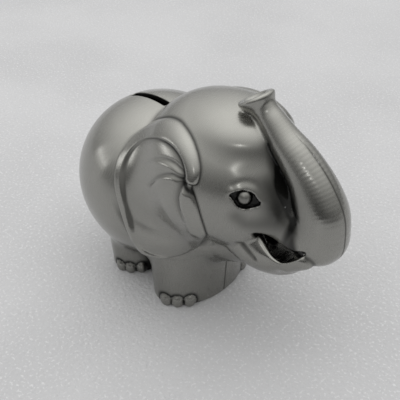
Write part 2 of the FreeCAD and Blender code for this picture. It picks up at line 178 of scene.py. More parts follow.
# The softer painted shade that runs on from that valley, under the eye to the corner of the mouth.
CHEEK_SHADE = [
    (50.5, 13.5, 103.5, 3.2), (55.5, 12.3, 98.0, 4.2), (60.0, 13.0, 91.0, 4.6), (57.5, 15.9, 85.3, 4.2),
    (52.8, 19.7, 84.1, 3.4), (48.8, 24.6, 85.3, 2.6), (45.4, 27.8, 89.3, 2.4),
]
LOBE_VALLEY = [(22.6, 101.4), (20.1, 99.4), (18.9, 95.2), (18.9, 90.6), (20.3, 86.3), (22.8, 81.4)]
LOBE_CREST = [(24.2, 97.8), (24.2, 94.5), (24.9, 88.4), (27.0, 81.5), (27.9, 75.2)]

EYE = (46.6, 23.4, 98.6)
EYE_RADIUS = 4.0
EYELID = [
    (41.3, 27.9, 100.2), (43.6, 25.2, 101.8), (45.6, 23.0, 102.1), (48.5, 20.4, 100.8), (50.3, 19.4, 98.2),
    (52.0, 18.6, 95.1), (50.1, 21.7, 94.1), (47.6, 24.8, 93.7), (45.1, 26.8, 95.1), (43.2, 27.4, 97.8),
]


# ---- distance fields ----

def ellipsoid(p, centre, radii, lean=0.0):
    """Distance to an ellipsoid that leans forwards by so many degrees."""
    q = p - np.array(centre, np.float32)
    if lean:
        turn = math.radians(lean)
        forwards = q[:, 0] * math.cos(turn) - q[:, 2] * math.sin(turn)
        up = q[:, 0] * math.sin(turn) + q[:, 2] * math.cos(turn)
        q = np.stack([forwards, q[:, 1], up], 1)
    r = np.array(radii, np.float32)
    near = np.linalg.norm(q / r, axis=1)
    slope = np.linalg.norm(q / (r * r), axis=1) + 1e-9
    return near * (near - 1) / slope


def union(a, b, soft):
    """Two shapes joined, with a fillet about as large as soft."""
    h = np.clip(0.5 + 0.5 * (b - a) / soft, 0, 1)
    return b * (1 - h) + a * h - soft * h * (1 - h)


def both(a, b, soft):
    """What two shapes share, with a rounded edge."""
    return -union(-a, -b, soft)


def smooth_line(points, count, closed=False):
    """Points along a smooth curve through the given ones."""
    known = np.array(points, float)
    if closed:
        ends = np.vstack([known[-1:], known, known[:2]])
        spans = len(known)
    else:
        ends = np.vstack([2 * known[:1] - known[1:2], known, 2 * known[-1:] - known[-2:-1]])
        spans = len(known) - 1
    found = []
    for step in range(count if closed else count + 1):
        place = step / count * spans
        i = min(int(place), spans - 1)
        t = place - i
        a, b, c, d = ends[i:i + 4]
        found.append(0.5 * (2 * b + (c - a) * t + (2 * a - 5 * b + 4 * c - d) * t * t
                            + (3 * b - a - 3 * c + d) * t ** 3))
    return np.array(found)


def tube(p, stations):
    """Distance to a round tube in the mid-plane through stations of x, z and radius."""
    best = None
    for (ax, az, ar), (bx, bz, br) in zip(stations[:-1], stations[1:]):
        dx = bx - ax
        dz = bz - az
        h = np.clip(((p[:, 0] - ax) * dx + (p[:, 2] - az) * dz) / (dx * dx + dz * dz), 0, 1)
        off = np.sqrt((p[:, 0] - ax - h * dx) ** 2 + p[:, 1] ** 2 + (p[:, 2] - az - h * dz) ** 2)
        off = off - (ar + (br - ar) * h)
        best = off if best is None else np.minimum(best, off)
    return best


def line_distance(u, v, line):
    """Distance in a flat drawing to an open line."""
    best = np.full(len(u), 1e9, np.float32)
    for (au, av), (bu, bv) in zip(line[:-1], line[1:]):
        du = bu - au
        dv = bv - av
        h = np.clip(((u - au) * du + (v - av) * dv) / (du * du + dv * dv), 0, 1)
        best = np.minimum(best, (u - au - h * du) ** 2 + (v - av - h * dv) ** 2)
    return np.sqrt(best)


def outline_distance(u, v, outline):
    """Distance in a flat drawing to a closed outline, negative inside."""
    best = line_distance(u, v, np.vstack([outline, outline[:1]]))
    inside = np.zeros(len(u), bool)
    for (au, av), (bu, bv) in zip(outline, np.roll(outline, -1, 0)):
        if av != bv:
            crosses = (av <= v) != (bv <= v)
            inside ^= crosses & (u < au + (v - av) * (bu - au) / (bv - av))
    return np.where(inside, -best, best)


def leg_stump(p, legs):
    """A pair of legs: an elliptic stump that widens upwards."""
    middle, half_long, half_wide, high, widening = legs
    up = np.clip(p[:, 2] / high, 0, 1)
    a = half_long + widening * up
    b = half_wide + widening * up
    ring = (np.sqrt(((p[:, 0] - middle) / a) ** 2 + (p[:, 1] / b) ** 2) - 1) * np.minimum(a, b)
    return both(both(ring, p[:, 2] - high, 6), -p[:, 2], 1.0)


def smooth_step(low, high, value):
    """Nought at low, one at high and smooth between them; low may be the larger of the two."""
    t = np.clip((value - low) / (high - low), 0, 1)
    return t * t * (3 - 2 * t)


def bell(away, width):
    """One on a line, and next to nothing at twice the width from it."""
    return np.exp(-(away / width) ** 2)


TRUNK_LINE = smooth_line(TRUNK, 60)
EAR_LINE = smooth_line(EAR_OUTLINE, 108, True)
BOWL_LINE = smooth_line(BOWL_OUTLINE, 88, True)
FOLD_LINES = [smooth_line(fold, 14) for fold in FOLDS]
VALLEY_LINE = smooth_line(LOBE_VALLEY, 10)
CREST_LINE = smooth_line(LOBE_CREST, 10)
LIP_LINE = smooth_line(LIP_EDGE, 50)
MOUTH_LINE = smooth_line(MOUTH_OUTLINE, 44, True)
CREASE_LINE = smooth_line(JAW_CREASE, 12)


def masses(p):
    """Body, legs, throat, head and trunk, blended into one smooth animal without details.

    The last number of each union is the size of its fillet in millimetres.
    """
    head = ellipsoid(p, *HEAD, HEAD_LEAN)
    under_cheek = (p - np.array(CHEEK_POINT, np.float32)) @ np.array(CHEEK_NORMAL, np.float32)
    under_cheek = under_cheek - 18.0 * np.clip((20 - p[:, 0]) / 25, 0, 1)
    cheeks = both(head, under_cheek, 2.2)
    stumps = union(leg_stump(p, FRONT_LEGS), leg_stump(p, REAR_LEGS), 1.0)
    whole = union(ellipsoid(p, *BODY), stumps, 7.0)
    whole = union(whole, tube(p, THROAT), 6.0)
    whole = union(whole, cheeks, 3.0)
    whole = union(whole, head + 7.0, 7.0)
    whole = union(whole, ellipsoid(p, *MOUND), MOUND_BLEND)
    whole = union(whole, tube(p, TRUNK_ROOT), 5.0)
    from_tip = p - np.array(TIP_MIDDLE, np.float32)
    facing = np.array(TIP_FACING, np.float32)
    trunk = both(tube(p, TRUNK_LINE), from_tip @ facing, 2.2)
    nostril = np.linalg.norm(from_tip - 2.4 * facing, axis=1) - NOSTRIL_RADIUS
    trunk = both(trunk, -nostril, 1.6)
    return union(union(whole, web(p), 3.0), trunk, 2.0)


def web(p):
    """The thin wall between the trunk and the forehead."""
    return np.maximum(outline_distance(p[:, 0], p[:, 2], np.array(WEB, float)), p[:, 1] - WEB_HALF)


def trunk_root(p):
    """The thick lower end of the trunk, which the mouth and the lip reach up to."""
    return np.minimum(tube(p, TRUNK_ROOT), tube(p, TRUNK_LINE[:ROOT_POINTS]))


def lip_part(p, inset=0.0):
    """The jaw's egg shape with the tubes that carry the lip forwards, made smaller by the inset."""
    egg = ellipsoid(p, *JAW, JAW_LEAN)
    side = tube(p - np.array((0, LIP_SIDE, 0), np.float32), LIP_TUBE)
    return union(egg, side, 4.0) + inset


def above_lip(p):
    """How far a point is above the lip's edge, measured square to the lip."""
    return (p[:, 2] - np.interp(p[:, 0], LIP_LINE[:, 0], LIP_LINE[:, 1])) * 0.74


def jaw(p):
    """The lower jaw: a scoop whose thin lip curls up beside the trunk."""
    above = above_lip(p)
    scoop = both(both(lip_part(p), above, 1.0), 26 - p[:, 0], 3.0)
    room = both(lip_part(p, LIP_THICK), -(above + MOUTH_DEPTH), 2.0)
    return both(scoop, -room, 0.8)


def mouth(p):
    """The hollow between the lower lip and the root of the trunk."""
    opening = outline_distance(p[:, 0], p[:, 2], MOUTH_LINE)
    return both(opening, -(trunk_root(p) + 4.0), 1.5)


def face_details(p, whole):
    """The open mouth, the lower jaw and the crease behind it."""
    near = (p[:, 0] > 22) & (p[:, 2] < 96) & (p[:, 1] < 42)
    if not near.any():
        return whole
    q = p[near]
    skin = both(whole[near], -mouth(q), 0.8)
    skin = union(skin, jaw(q), 0.9)
    crease = line_distance(q[:, 0], q[:, 2], CREASE_LINE)
    skin = skin + 0.7 * bell(crease, 0.9) * smooth_step(6, 12, q[:, 1])
    result = whole.copy()
    result[near] = skin
    return result


def toenails(p):
    """Three round nails on the outer front of each foot."""
    best = None
    for (middle, half_long, half_wide, _, _), radius, angles in TOENAILS:
        for angle in angles:
            turn = math.radians(angle)
            place = (
                middle + (half_long + TOENAIL_REACH) * math.cos(turn),
                (half_wide + TOENAIL_REACH) * math.sin(turn),
                TOENAIL_HEIGHT,
            )
            nail = ellipsoid(p, place, (radius, radius, radius * 1.4))
            best = nail if best is None else np.minimum(best, nail)
    return best


def eye_frame():
    """Axes at an eye's place on the head: along the eye, up the eyelid and outwards."""
    rear = np.array(EYELID[0])
    front = np.array(EYELID[5])
    along = (front - rear) / np.linalg.norm(front - rear)
    up = np.array(EYELID[2]) - np.array(EYELID[7])
    up = up - along * (up @ along)
    up = up / np.linalg.norm(up)
    out = np.cross(up, along)
    if out[1] < 0:
        out = -out
    return along, up, out


EYE_ALONG, EYE_UP, EYE_OUT = eye_frame()


def on_eye(points):
    """Places near the eye as distances along it, up it and out from it, from its middle."""
    q = np.asarray(points, float) - np.array(EYE)
    return np.stack([q @ EYE_ALONG, q @ EYE_UP, q @ EYE_OUT], 1)


LID_LINE = smooth_line(on_eye(EYELID)[:, :2], 40, True)
LID_TOP = LID_LINE[:20]


def eye_details(p, whole):
    """An eyeball in an almond socket below an arched lid."""
    q = on_eye(p)
    near = np.linalg.norm(q, axis=1) < 18
    if not near.any():
        return whole
    u, v, out = q[near].T
    skin = whole[near]
    almond = outline_distance(u, v, LID_LINE)
    top = line_distance(u, v - 1.0, LID_TOP)
    skin = skin - 0.35 * bell(top, 1.9)
    fold = line_distance(u, v - 4.2, LID_TOP)
    skin = skin + 0.25 * bell(fold, 1.6)
    socket = both(almond, -(skin + 2.0), 0.6)
    skin = both(skin, -socket, 0.9)
    ball = np.sqrt(u ** 2 + v ** 2 + (out + 2.9) ** 2) - EYE_RADIUS
    result = whole.copy()
    result[near] = union(skin, ball, 0.15)
    return result


def coin_slot(p):
    """A straight slot in the back, with corners that are only just rounded."""
    x, y, z = p.T
    sides = both(y - SLOT_HALF_WIDTH, np.abs(x - SLOT_MIDDLE) - SLOT_HALF, 1.0)
    return np.maximum(sides, SLOT_BOTTOM - z)


def recess(p, grow=0.0):
    """The oval recess under the belly, whose roof holds the stopper."""
    x, y, z = p.T
    half_long, half_wide, high = RECESS
    ring = np.sqrt(((x - RECESS_MIDDLE) / half_long) ** 2 + (y / half_wide) ** 2)
    return np.maximum((ring - 1) * half_wide - grow, z - high - grow)


def bank(p):
    """The outer surface of the cast shell, all details included."""
    p = mirrored_points(p)
    x, y, z = p.T
    whole = masses(p)
    whole = eye_details(p, whole)
    whole = face_details(p, whole)
    whole = union(whole, toenails(p), 0.5)
    whole = both(whole, -coin_slot(p), 0.5)
    whole = both(whole, -recess(p), 0.6)
    bore = np.maximum(np.hypot(x - RECESS_MIDDLE, y) - BORE_RADIUS, z - BORE_TOP)
    return np.maximum(np.maximum(whole, -bore), -z)


def cavity(p):
    """The hollow where the coins go."""
    p = mirrored_points(p)
    inner = masses(p) + WALL
    inner = both(inner, WALL - p[:, 2], 1.0)
    inner = both(inner, p[:, 2] - TRUNK_HOLLOW_TOP, 2.0)
    return both(inner, -recess(p, WALL), 1.0)


def mirrored_points(p):
    """Points with their distance from the mid-plane in place of y."""
    q = p.astype(np.float32)
    q[:, 1] = np.abs(q[:, 1])
    return q


def ear_seat(p):
    """The smooth surface under the ear, which bridges the crease between head and body."""
    seat = union(ellipsoid(p, *HEAD, HEAD_LEAN), ellipsoid(p, *BODY), 14.0)
    return union(seat, leg_stump(p, FRONT_LEGS), 18.0)


def ear(p):
    """A shallow bowl with a rolled rim, two folds and a raised front lobe.

    The height above the seat is worked out from where a point is between the ear's edge and its
    bowl: the rim is rolled at the top and front and flat at the rear.
    """
    p = mirrored_points(p)
    low, high = np.array(EAR_REACH, np.float32)
    result = np.linalg.norm(np.maximum(np.maximum(low - p, p - high), 0), axis=1)
    near = result < 3.0
    result = result + 2.0
    if not near.any():
        return result
    x, _, z = p[near].T
    edge = outline_distance(x, z, EAR_LINE)
    bowl = outline_distance(x, z, BOWL_LINE)
    above = ear_seat(p[near])
    front = smooth_step(-12, 14, x) * smooth_step(84, 100, z)
    band = np.maximum(-edge, 0) + np.maximum(bowl, 0) + 1e-6
    across = np.clip(-edge / band, 0, 1)
    roll = np.sqrt(np.clip(4 * across * (1 - across), 0, 1))
    rolled = 0.4 + 0.8 * across + 2.0 * np.clip(band / 5, 0, 1) * roll
    flat = 1.6 + 0.9 * across * np.clip(band / 5, 0.4, 1)
    flat = 1.2 + (flat - 1.2) * smooth_step(-1.0, 1.0, bowl)
    high = flat + (rolled - flat) * front
    inside = smooth_step(0.4, -0.6, bowl)
    for line in FOLD_LINES:
        away = line_distance(x, z, line)
        below = z < np.interp(x, line[::-1, 0], line[::-1, 1])
        ridge = np.where(below, bell(away - 2.4, 1.8), 0)
        fade = smooth_step(-9, 10, x) * inside
        high = high + fade * (0.55 * ridge - 0.65 * bell(away, 0.9))
    valley = line_distance(x, z, VALLEY_LINE)
    crest = line_distance(x, z, CREST_LINE)
    notch = np.hypot(x - NOTCH[0], z - NOTCH[1])
    high = high - 0.9 * bell(valley, 1.4) * smooth_step(81, 88, z)
    high = high + 1.4 * bell(crest, 4.0) * smooth_step(62, 76, z) * smooth_step(101, 96, z)
    high = high - 1.2 * inside * bell(notch, 3.5)
    shape = both(edge, above - high, 1.6)
    result[near] = both(shape, -(above + 0.6), 0.4)
    return result


def rump_tail(p):
    """A tapered tail that lies on the rump and ends in a tuft."""
    p = mirrored_points(p)
    (body_x, _, body_z), (long, _, high) = BODY
    stations = []
    for angle, radius in TAIL:
        turn = math.radians(angle)
        along = body_x - (long + 1.2) * math.cos(turn)
        stations.append((along, body_z + (high + 1.2) * math.sin(turn), radius))
    rod = tube(p, smooth_line(stations, 24))
    strands = 0.35 * np.sin(p[:, 1] * 4.2) * smooth_step(52, 46, p[:, 2])
    tuft = ellipsoid(p, *TUFT) + strands
    return union(rod, tuft, 1.5)


# ---- meshes ----

def slopes(field, p, step=0.12):
    """Unit normals of a field by central differences."""
    found = np.zeros_like(p, dtype=np.float32)
    for axis in range(3):
        move = np.zeros(3, np.float32)
        move[axis] = step
        found[:, axis] = field(p + move) - field(p - move)
    return found / (np.linalg.norm(found, axis=1)[:, None] + 1e-9)


def grid_of(field, low, high, cell):
    """Samples of a field: everywhere coarsely, and close to the surface at full detail."""
    coarse = 4
    counts = [int(math.ceil((b - a) / (cell * coarse))) for a, b in zip(low, high)]
    axes = [np.arange(n + 1) * cell * coarse + a for n, a in zip(counts, low)]
    places = np.stack(np.meshgrid(*axes, indexing="ij"), -1).reshape(-1, 3).astype(np.float32)
    rough = field(places).reshape([n + 1 for n in counts])
    corners = [rough[i:counts[0] + i, j:counts[1] + j, k:counts[2] + k]
               for i in (0, 1) for j in (0, 1) for k in (0, 1)]
    closest = np.min(np.abs(corners), axis=0)
    values = np.repeat(np.repeat(np.repeat(rough[:-1, :-1, :-1], coarse, 0), coarse, 1), coarse, 2)
    values = values.astype(np.float32)
    blocks = np.argwhere(closest < cell * coarse * 1.9)
    inner = np.stack(np.meshgrid(*[np.arange(coarse)] * 3, indexing="ij"), -1).reshape(-1, 3)
    cells = (blocks[:, None, :] * coarse + inner[None]).reshape(-1, 3)
    values[tuple(cells.T)] = field((cells * cell + np.array(low)).astype(np.float32))
    return values


def surface(field, low, high, cell):
    """Vertices and faces of a field's surface, with each vertex moved onto the surface."""
    values = grid_of(field, low, high, cell)
    outside = np.float32(cell * 3)
    grid = openvdb.FloatGrid(outside)
    grid.copyFromArray(np.clip(values, -outside, outside))
    points, triangles, quads = grid.convertToPolygons(0.0, 0.0)
    points = points.astype(np.float32) * cell + np.array(low, np.float32)
    for _ in range(2):
        normals = slopes(field, points)
        away = np.clip(field(points), -cell * 0.6, cell * 0.6)
        points = points - normals * away[:, None]
    faces = triangles.tolist() + quads.tolist()
    return points, faces


def mesh_piece(name, points, faces):
    """A linked mesh object from points in millimetres."""
    mesh = bpy.data.meshes.new(name)
    mesh.from_pydata((np.asarray(points, float) * MM).tolist(), [], faces)
    mesh.validate()
    mesh.update()
    piece = bpy.data.objects.new(name, mesh)
    bpy.context.scene.collection.objects.link(piece)
    return piece


def carve(piece, tool, operation="DIFFERENCE"):
    """Apply a boolean and remove its tool."""
    change = piece.modifiers.new("carve", "BOOLEAN")
    change.operation = operation
    change.solver = "MANIFOLD"
    change.object = tool
    depsgraph = bpy.context.evaluated_depsgraph_get()
    result = bpy.data.meshes.new_from_object(piece.evaluated_get(depsgraph))
    piece.modifiers.clear()
    piece.data = result
    bpy.data.objects.remove(tool)
    return piece


def block(name, low, high):
    """A plain box, used only as a boolean's tool."""
    ends_x, ends_y, ends_z = zip(low, high)
    corners = [(x, y, z) for x in ends_x for y in ends_y for z in ends_z]
    faces = [(0, 1, 3, 2), (4, 6, 7, 5), (0, 4, 5, 1), (2, 3, 7, 6), (0, 2, 6, 4), (1, 5, 7, 3)]
    return mesh_piece(name, corners, faces)


def place_of(piece):
    """Vertex places in millimetres."""
    found = np.zeros(len(piece.data.vertices) * 3, np.float32)
    piece.data.vertices.foreach_get("co", found)
    return found.reshape(-1, 3) / MM


def set_place(piece, points):
    """Move the vertices to places in millimetres."""
    piece.data.vertices.foreach_set("co", (points * MM).astype(np.float32).ravel())
    piece.data.update()


def left_shell():
    """The left half: the outer surface cut at the mid-plane, with the cavity taken out."""
    shell = mesh_piece("shell_left_look", *surface(just_past_middle, *SHELL_BOX, SHELL_CELL))
    carve(shell, block("other_side", (-120, -60, -20), (120, 0, 180)))
    carve(shell, mesh_piece("hollow", *surface(cavity, *CAVITY_BOX, CAVITY_CELL)))
    points = place_of(shell)
    edge = (np.abs(points[:, 1]) < 1e-3) & (np.abs(bank(points)) < 0.08)
    inwards = slopes(bank, points[edge])
    inwards[:, 1] = 0
    shown = np.maximum(smooth_step(52, 62, points[edge, 0]), smooth_step(62, 54, points[edge, 2]))
    points[edge] -= inwards * (SEAM_DEPTH * shown)[:, None]
    set_place(shell, points)
    return shell


def just_past_middle(p):
    """The bank closed just past the mid-plane."""
    return np.maximum(bank(p), -(p[:, 1] + 1.5 * SHELL_CELL))


def mirrored_piece(piece, name):
    """The same piece on the other side."""
    mesh = piece.data.copy()
    other = bpy.data.objects.new(name, mesh)
    bpy.context.scene.collection.objects.link(other)
    points = place_of(other)
    points[:, 1] = -points[:, 1]
    set_place(other, points)
    mesh.flip_normals()
    return other


def stopper_plug():
    """The rubber stopper's plug: a turned shape with a flange below it and a hollow top."""
    flange_thick = 2.4
    rim_inner = BORE_RADIUS - 3.0
    roof = RECESS[2]
    top = stopper_high.z / MM
    floor = roof + 1.2
    plug = BORE_RADIUS - 0.1
    profile = [
        (0, roof - flange_thick), (FLANGE_RADIUS - 1.0, roof - flange_thick),
        (FLANGE_RADIUS - 0.25, roof - flange_thick + 0.3), (FLANGE_RADIUS, roof - flange_thick + 1.0),
        (FLANGE_RADIUS, roof - 0.5), (FLANGE_RADIUS - 0.4, roof - 0.05), (plug, roof - 0.05),
        (plug, top - 1.2), (plug - 1.0, top), (rim_inner + 0.5, top), (rim_inner, top - 0.5),
        (rim_inner, floor + 0.8), (rim_inner - 0.8, floor), (0, floor),
    ]
    around = 96
    points = []
    faces = []
    for radius, height in profile[1:-1]:
        for i in range(around):
            turn = 2 * math.pi * i / around
            points.append((RECESS_MIDDLE + radius * math.cos(turn), radius * math.sin(turn), height))
    rings = len(profile) - 2
    for ring in range(rings - 1):
        for i in range(around):
            j = (i + 1) % around
            below = ring * around
            above = below + around
            faces.append((below + i, below + j, above + j, above + i))
    faces.append(tuple(range(around))[::-1])
    faces.append(tuple(range((rings - 1) * around, rings * around)))
    return mesh_piece("stopper_look", points, faces)


def stopper_tab():
    """The stopper's pull tab: a tongue with round lower corners and softened edges."""
    half = 8.5
    thick = 1.7
    corner = 2.4
    low = stopper_low.z / MM
    high = RECESS[2] - 1.8
    outline = [(half, high), (-half, high)]
    for side, start in ((-1, 180), (1, 270)):
        for step in range(7):
            turn = math.radians(start + step * 15)
            across = side * (half - corner) + corner * math.cos(turn)
            outline.append((across, low + corner + corner * math.sin(turn)))
    points = [(RECESS_MIDDLE + x, side * thick, z) for side in (-1, 1) for x, z in outline]
    n = len(outline)
    faces = [tuple(range(n)), tuple(range(2 * n - 1, n - 1, -1))]
    faces += [(i, n + i, n + (i + 1) % n, (i + 1) % n) for i in range(n)]
    tab = mesh_piece("tab", points, faces)
    bevel = tab.modifiers.new("soft edges", "BEVEL")
    bevel.width = 0.4 * MM
    bevel.segments = 3
    bevel.limit_method = "ANGLE"
    return tab


# ---- patina and painted shade ----

def whole_field(p):
    """All the metal pieces together, for the shade in the creases."""
    return np.minimum(np.minimum(bank(p), ear(p)), rump_tail(p))


def store(piece, name, values):
    """Keep one number per vertex for the material to read."""
    layer = piece.data.attributes.new(name, "FLOAT", "POINT")
    layer.data.foreach_set("value", values.astype(np.float32))


def ear_lines(p):
    """Where patina stays on an ear: under the rolled rim, in the folds and in the notch."""
    p = mirrored_points(p)
    x, _, z = p.T
    bowl = outline_distance(x, z, BOWL_LINE)
    front = smooth_step(-16, 8, x) * smooth_step(80, 96, z)
    dark = (0.25 + 0.75 * front) * bell(bowl + 0.4, 1.1) * smooth_step(56, 66, z)
    for line in FOLD_LINES:
        dark = dark + 0.5 * bell(line_distance(x, z, line), 0.9) * smooth_step(-10, 12, x)
    notch = np.hypot(x - NOTCH[0], z - NOTCH[1])
    dark = dark + 0.7 * bell(notch, 3.6) * smooth_step(1.0, -0.5, bowl)
    dark = dark + 0.4 * bell(line_distance(x, z, VALLEY_LINE), 1.3)
    edge = outline_distance(x, z, EAR_LINE)
    return dark + 0.8 * bell(np.maximum(ear_seat(p), 0), 0.6) * smooth_step(-1.2, 0, edge)


def mouth_lines(p):
    """Painted shade in the mouth and where the lip meets the trunk, and patina in the jaw's crease; the
    crease and hollow darkening is taken off the lip's inner face.
    """
    x, y, z = p.T
    opening = smooth_step(0.8, -0.4, outline_distance(x, z, MOUTH_LINE))
    from_jaw = jaw(p)
    # Painted shade inside the mouth's opening.
    dark = 0.85 * opening * smooth_step(0.2, 0.9, from_jaw) * smooth_step(44, 48, x)
    dark = dark - 0.8 * opening * smooth_step(0.5, 0.1, from_jaw) * (x > 44)
    dark = dark + 0.7 * bell(line_distance(x, z, CREASE_LINE), 1.0) * smooth_step(6, 12, y)
    # Painted shade along the line where the lip meets the trunk.
    meeting = np.maximum(trunk_root(p), 0) + np.maximum(lip_part(p), 0)
    lip_front = smooth_step(68, 74, x) * smooth_step(0.5, -0.5, above_lip(p))
    return dark + 1.3 * bell(meeting, 1.1) * lip_front


def eye_lines(p):
    """Painted shade and patina in the almond socket, round the eyeball, lighter over the ball."""
    q = on_eye(p)
    almond = outline_distance(q[:, 0], q[:, 1], LID_LINE)
    off_ball = np.hypot(q[:, 0], q[:, 1]) - EYE_RADIUS * 0.72
    socket = smooth_step(0.3, -0.3, almond) * (0.25 + 0.75 * smooth_step(-0.4, 0.5, off_ball))
    return socket * (np.abs(q[:, 2]) < 8)


def shell_lines(p):
    """Where patina and painted shade lie on the shell. Less than nothing takes the crease and hollow
    darkening away.
    """
    p = mirrored_points(p)
    x, y, z = p.T
    round_ears = 0.85 * bell(np.maximum(ear(p), 0), 0.65)
    # Painted shade on the coin slot's walls.
    slot_wall_shade = smooth_step(0.5, 0.1, coin_slot(p))
    seam = 0.7 * bell(y, 0.5) * np.maximum(smooth_step(56, 66, x), smooth_step(60, 52, z))
    # Painted shade round the toenails and in the gaps between them.
    nails = toenails(p)
    toe_gap_shade = 1.2 * bell(np.maximum(nails, 0), 1.4) * (nails > 0.15)
    dark = round_ears + slot_wall_shade + seam + toe_gap_shade
    return dark + mouth_lines(p) + eye_lines(p) + valley_shade(p) + trunk_back_shade(p)


def trunk_back_shade(p):
    """Painted shade on the side of the trunk that looks at the forehead, and on the web behind it."""
    turned = np.zeros(len(p))
    nearest = np.full(len(p), 1e9)
    free_part = TRUNK_LINE[FREE_START:]
    for (ax, az, ar), (bx, bz, _) in zip(free_part[:-1], free_part[1:]):
        long = math.hypot(bx - ax, bz - az)
        away = np.hypot(p[:, 0] - ax, p[:, 2] - az)
        behind = ((p[:, 0] - ax) * (az - bz) + (p[:, 2] - az) * (bx - ax)) / long
        turned = np.where(away < nearest, behind / ar, turned)
        nearest = np.minimum(nearest, away)
    forehead = union(ellipsoid(p, *HEAD, HEAD_LEAN), ellipsoid(p, *MOUND), MOUND_BLEND)
    on_trunk = smooth_step(0.9, 0.3, tube(p, TRUNK_LINE)) * smooth_step(127, 119, p[:, 2])
    on_trunk = on_trunk * smooth_step(0.15, 0.6, forehead)
    beside = bell(np.maximum(web(p), 0), 2.0) * smooth_step(100, 108, p[:, 2]) * (turned > 0.4)
    return np.maximum(smooth_step(0.30, 0.60, turned) * on_trunk, beside)


def valley_shade(p):
    """Painted shade beside the trunk, wide at the cheek and thin towards the tip, with the cheek's softer
    painted shade.
    """
    halo = 0.5 * along_line(p, TRUNK_VALLEY, 2.4) + 0.4 * along_line(p, CHEEK_SHADE, 1.5)
    return np.maximum(along_line(p, TRUNK_VALLEY, 1.1), halo)


def along_line(p, stations, spread):
    """Painted shade that fades away from a line of stations, each x, y, z and radius."""
    best = np.zeros(len(p))
    for a, b in zip(stations[:-1], stations[1:]):
        start = np.array(a)
        step = np.array(b) - start
        h = np.clip((p - start[:3]) @ step[:3] / (step[:3] @ step[:3]), 0, 1)
        away = np.linalg.norm(p - start[:3] - h[:, None] * step[:3], axis=1)
        best = np.maximum(best, bell(away, (start[3] + h * step[3]) * spread))
    return best


def add_patina_and_shade(piece, field, lines=None, wide=1.0):
    """Store how hidden each point is, finely as crease for patina and broadly as hollow for painted shade
    with patina, and the lines of patina and painted shade.

    Both hidden values fade towards the top of the bank.
    """
    points = place_of(piece)
    normals = slopes(field, points, 0.3)
    hidden = []
    for reach in (1.2, 2.5, 5.0, 10.0):
        free = whole_field(points + normals * reach) / reach
        hidden.append(np.clip(1 - free, 0, 1.4))
    crease = (0.5 * hidden[0] + 0.5 * hidden[1]) * (1 - 0.8 * smooth_step(102, 112, points[:, 2]))
    # Broad painted shade in the hollows, as well as patina there.
    hollow = (0.5 * hidden[2] + 0.5 * hidden[3]) * wide
    hollow = hollow * (1.15 - 1.1 * smooth_step(98, 116, points[:, 2]))
    painted = lines(points) if lines else np.zeros(len(points))
    wiped = 1 + np.clip(painted, -1, 0)
    store(piece, "crease", np.clip(crease, 0, 1) * wiped)
    store(piece, "hollow", np.clip(hollow, 0, 1) * wiped)
    store(piece, "patina", np.clip(painted, 0, 1))


def shade_smooth(piece, angle=40.0):
    """Smooth shading, with edges sharper than the angle kept crisp."""
    for polygon in piece.data.polygons:
        polygon.use_smooth = True
    piece.data.set_sharp_from_angle(angle=math.radians(angle))


# ---- materials ----

class Nodes:
    """A small helper that adds and links shader nodes."""

    def __init__(self, tree):
        self.tree = tree

    def add(self, kind, settings=None, **inputs):
        """A new node, with its settings and its inputs' values."""
        node = self.tree.nodes.new(kind)
        for name, value in (settings or {}).items():
            setattr(node, name, value)
        for name, value in inputs.items():
            self.put(node.inputs[name.replace("_", " ")], value)
        return node

    def put(self, socket, value):
        """Give an input a number, a colour or another node's output."""
        if isinstance(value, bpy.types.NodeSocket):
            self.tree.links.new(value, socket)
        else:
            socket.default_value = value

    def maths(self, operation, *values, clamp=False):
        """The result of one operation on two or three values."""
        node = self.tree.nodes.new("ShaderNodeMath")
        node.operation = operation
        node.use_clamp = clamp
        for i, value in enumerate(values):
            self.put(node.inputs[i], value)
        return node.outputs[0]

    def spread(self, value, low, high, to_low=0.0, to_high=1.0):
        """The value carried smoothly from one range to another."""
        node = self.tree.nodes.new("ShaderNodeMapRange")
        node.interpolation_type = "SMOOTHSTEP"
        for i, number in enumerate((value, low, high, to_low, to_high)):
            self.put(node.inputs[i], number)
        return node.outputs[0]

    def noise(self, place, scale, detail=3.0, stretch=(1, 1, 1)):
        """Smooth noise, with so many cells to a metre, squeezed along each axis by the stretch."""
        spot = self.tree.nodes.new("ShaderNodeMapping")
        self.put(spot.inputs["Vector"], place)
        spot.inputs["Scale"].default_value = stretch
        node = self.tree.nodes.new("ShaderNodeTexNoise")
        self.put(node.inputs["Vector"], spot.outputs[0])
        node.inputs["Scale"].default_value = scale
        node.inputs["Detail"].default_value = detail
        return node.outputs["Fac"]

    def mix(self, factor, a, b):
        """A colour between a, at nought, and b, at one."""
        node = self.tree.nodes.new("ShaderNodeMix")
        node.data_type = "RGBA"
        self.put(node.inputs[0], factor)
        self.put(node.inputs[6], a)
        self.put(node.inputs[7], b)
        return node.outputs[2]


def new_material(name):
    """A material, a helper for its nodes and its main shader."""
    material = bpy.data.materials.new(name)
    material.use_nodes = True
    nodes = Nodes(material.node_tree)
    shader = material.node_tree.nodes["Principled BSDF"]
    return material, nodes, shader


# Pewter's colours: between streaks, on worn streaks, and under patina and painted shade.
METAL = (0.27, 0.268, 0.248, 1)
METAL_WORN = (0.37, 0.366, 0.342, 1)
PATINA_AND_SHADE = (0.012, 0.012, 0.011, 1)
# Its noises: cells to a metre.
STREAKS = 110.0
FINE_STREAKS = 300.0
CLOUDS = 38.0
# Where the creases' patina and the hollows' painted shade start and where they are full, for each hidden
# value, and how dark a hollow's painted shade can get.
CREASE_PATINA = (0.34, 0.85)
HOLLOW_PATINA_AND_SHADE = (0.26, 0.82)
HOLLOW_DARKEST = 0.8
